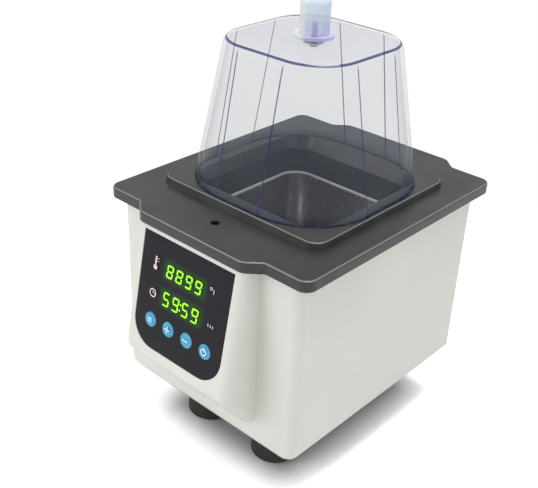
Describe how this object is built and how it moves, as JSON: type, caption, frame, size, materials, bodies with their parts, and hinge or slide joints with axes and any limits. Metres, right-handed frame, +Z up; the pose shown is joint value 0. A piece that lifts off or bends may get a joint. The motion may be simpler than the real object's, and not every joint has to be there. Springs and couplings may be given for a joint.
{
  "type": "laboratory water bath",
  "caption": "Small bench water bath: painted housing on rubber feet, dark top frame round a steel tank, leaning control panel in front and a clear tapered lid that lifts off.",
  "frame": {"origin": "on the bench, under the middle of the top frame and of the tank", "axes": "+X to the right of someone facing the control panel, +Y to the rear with the mains inlet, +Z up out of the tank"},
  "size_m": [0.19, 0.2532, 0.3366],
  "materials": {
    "housing_paint": "smooth satin powder coat, warm off-white",
    "frame_plastic": "satin moulded plastic, dark grey",
    "foot_rubber": "moulded black rubber",
    "pan_steel": "zinc plated sheet",
    "tank_steel": "deep-drawn stainless steel, satin",
    "screw_steel": "zinc plated",
    "gasket_rubber": "silicone",
    "heater_silicone": "moulded silicone",
    "plate_aluminium": "rolled sheet",
    "jacket_foam": "closed-cell foam",
    "panel_film": "printed polycarbonate film, near black",
    "key_film": "printed film, pale blue",
    "board_laminate": "solder-masked laminate",
    "display_face": "dark filter with green segments",
    "part_plastic": "moulded, black",
    "ribbon_jacket": "grey insulation",
    "core_steel": "varnished laminations",
    "terminal_plastic": "moulded, green",
    "can_plastic": "shrunk sleeve",
    "pin_metal": "nickel plated",
    "fuse_glass": "glass tube with plated caps",
    "lid_clear": "clear moulded plastic"
  },
  "bodies": {
    "chassis": {"rubber_feet": "foot_rubber", "base_pan": "pan_steel", "foot_screws": "screw_steel", "foot_nuts": "screw_steel", "housing_shell": "housing_paint", "pan_screws": "screw_steel", "top_frame": "frame_plastic", "frame_screws": "screw_steel", "tank": "tank_steel", "tank_gasket": "gasket_rubber", "tank_screws": "screw_steel", "heater_mat": "heater_silicone", "heater_plate": "plate_aluminium", "insulation_jacket": "jacket_foam", "thermal_cutout": "part_plastic", "temperature_sensor": "screw_steel", "panel_overlay": "panel_film", "display_board": "board_laminate", "temperature_display": "display_face", "timer_display": "display_face", "key_switches": "part_plastic", "display_board_screws": "screw_steel", "buzzer": "part_plastic", "board_standoffs": "screw_steel", "power_board": "board_laminate", "power_board_screws": "screw_steel", "standoff_screws": "screw_steel", "supply_transformer": "core_steel", "heat_sink": "plate_aluminium", "triac": "part_plastic", "terminal_block": "terminal_plastic", "filter_capacitors": "can_plastic", "ribbon_cable": "ribbon_jacket", "power_inlet": "part_plastic", "inlet_pins": "pin_metal", "switch_body": "part_plastic"},
    "lid": {"lid_dome": "lid_clear", "lid_knob": "lid_clear", "knob_washer": "screw_steel", "knob_screw": "screw_steel"},
    "key_set_cap": {"key_set": "key_film"},
    "key_up_cap": {"key_up": "key_film"},
    "key_down_cap": {"key_down": "key_film"},
    "key_start_cap": {"key_start": "key_film"},
    "power_rocker": {"switch_rocker": "part_plastic"},
    "fuse_tray": {"fuse_drawer": "part_plastic", "fuse": "fuse_glass"}
  },
  "joints": [
    {"name": "lid_lift", "type": "slide", "parent": "chassis", "child": "lid", "axis": [0, 0, 1], "range_m": [0, 0.12]},
    {"name": "key_set_press", "type": "slide", "parent": "chassis", "child": "key_set_cap", "axis": [0, 0.9828, -0.1848], "range_m": [0, 0.0004], "stiffness_N_per_m": 1500},
    {"name": "key_up_press", "type": "slide", "parent": "chassis", "child": "key_up_cap", "axis": [0, 0.9828, -0.1848], "range_m": [0, 0.0004], "stiffness_N_per_m": 1500},
    {"name": "key_down_press", "type": "slide", "parent": "chassis", "child": "key_down_cap", "axis": [0, 0.9828, -0.1848], "range_m": [0, 0.0004], "stiffness_N_per_m": 1500},
    {"name": "key_start_press", "type": "slide", "parent": "chassis", "child": "key_start_cap", "axis": [0, 0.9828, -0.1848], "range_m": [0, 0.0004], "stiffness_N_per_m": 1500},
    {"name": "power_rocker_tilt", "type": "hinge", "parent": "chassis", "child": "power_rocker", "pos_m": [0.022, 0.1105, 0.122], "axis": [1, 0, 0], "range_deg": [0, 16]},
    {"name": "fuse_tray_slide", "type": "slide", "parent": "chassis", "child": "fuse_tray", "axis": [0, 1, 0], "range_m": [0, 0.016]}
  ]
}
